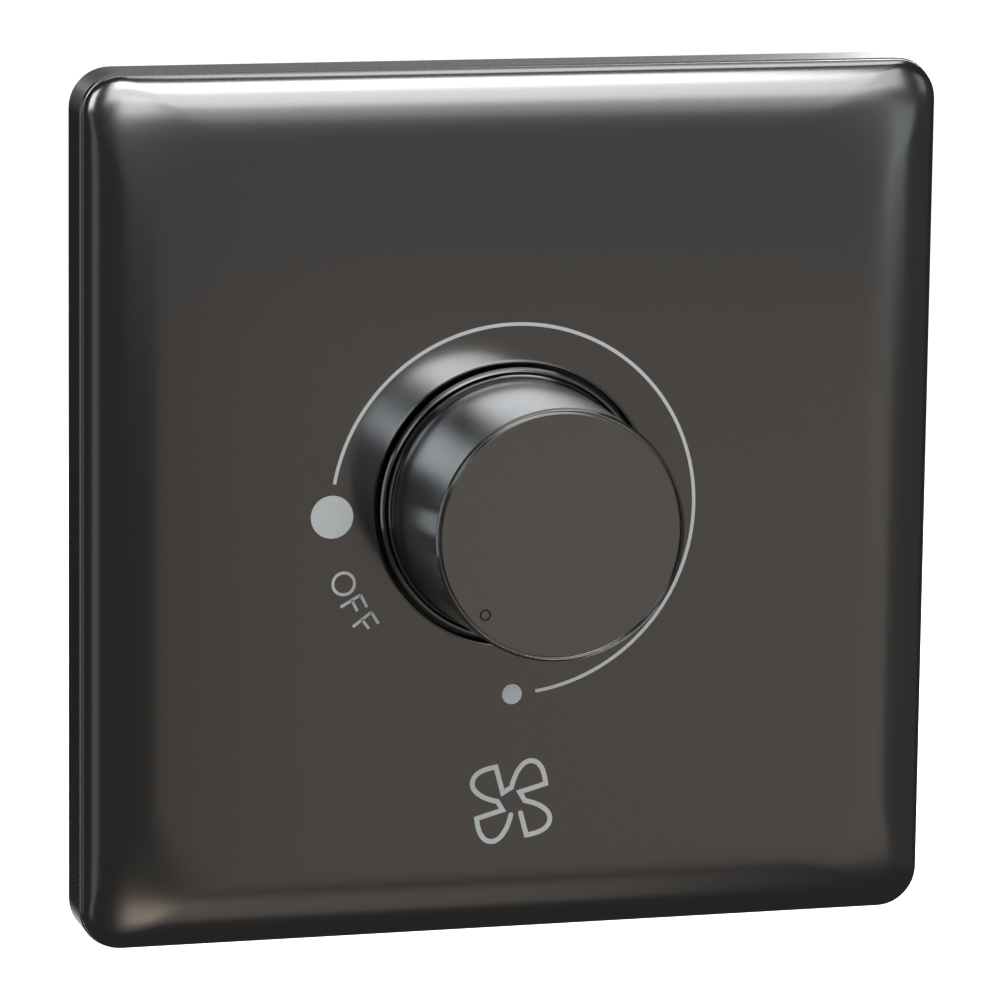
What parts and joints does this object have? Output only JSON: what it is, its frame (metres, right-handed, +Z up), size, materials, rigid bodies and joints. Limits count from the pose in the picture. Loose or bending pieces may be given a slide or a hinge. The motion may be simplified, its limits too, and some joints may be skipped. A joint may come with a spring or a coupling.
{
  "type": "fan speed control switch",
  "caption": "Flush wall fan speed control: square pillow-edged cover plate, large turning knob with an off position, and a terminal module behind.",
  "frame": {"origin": "on the knob's axis in the plane of the wall, which is the rear face of the mounting frame and midway between the two fixing slots", "axes": "+Z up on the wall, +X to the right seen from the front, -Y out of the wall towards the user"},
  "size_m": [0.087, 0.0541, 0.087],
  "materials": {
    "cover_finish": "satin anthracite metallic paint",
    "frame_finish": "satin anthracite metallic paint",
    "knob_finish": "satin anthracite metallic paint",
    "black_moulding": "fine-textured black moulding",
    "terminal_moulding": "grey moulding",
    "zinc_steel": "zinc-plated steel",
    "spring_steel": "spring steel",
    "sheet_aluminium": "mill-finish aluminium sheet",
    "turned_brass": "turned and pressed brass",
    "tinned_copper": "tinned legs",
    "enamelled_wire": "enamelled copper wire",
    "iron_powder": "lacquered iron powder",
    "board_laminate": "glass-epoxy laminate with green mask",
    "wafer_laminate": "brown paper laminate",
    "moulded_epoxy": "black moulding compound",
    "capacitor_case": "yellow boxed film capacitor",
    "resistor_body": "lacquered resistor",
    "pad_rubber": "grey silicone pad",
    "fuse_glass": "clear glass",
    "nickel_brass": "nickel-plated brass"
  },
  "bodies": {
    "base": {"cover_plate": "cover_finish", "mounting_frame": "frame_finish", "bezel_ring": "knob_finish", "front_housing": "black_moulding", "rear_housing": "black_moulding", "heat_sink": "sheet_aluminium", "triac_pad": "pad_rubber", "triac_tab": "nickel_brass", "triac_body": "moulded_epoxy", "triac_legs": "tinned_copper", "triac_screw": "zinc_steel", "pot_case": "zinc_steel", "pot_bush": "turned_brass", "pot_wafer": "wafer_laminate", "pot_pins": "tinned_copper", "pot_washer": "zinc_steel", "pot_nut": "zinc_steel", "switch_case": "moulded_epoxy", "switch_pins": "tinned_copper", "circuit_board": "board_laminate", "interference_capacitor": "capacitor_case", "timing_capacitor": "capacitor_case", "choke_core": "iron_powder", "choke_winding": "enamelled_wire", "power_resistor": "resistor_body", "resistors": "resistor_body", "diac": "resistor_body", "fuse_tube": "fuse_glass", "fuse_caps": "nickel_brass", "fuse_clips": "nickel_brass", "terminal_block": "terminal_moulding", "terminal_clamps": "turned_brass", "terminal_screws": "zinc_steel", "frame_screws": "zinc_steel", "housing_screws": "zinc_steel"},
    "control_knob": {"knob": "knob_finish", "knob_cap": "knob_finish", "knob_clip": "spring_steel", "pot_shaft": "turned_brass", "pot_wiper": "spring_steel"}
  },
  "joints": [
    {"name": "knob_turn", "type": "hinge", "parent": "base", "child": "control_knob", "pos_m": [0, 0, 0], "axis": [0, 1, 0], "range_deg": [0, 315]}
  ]
}
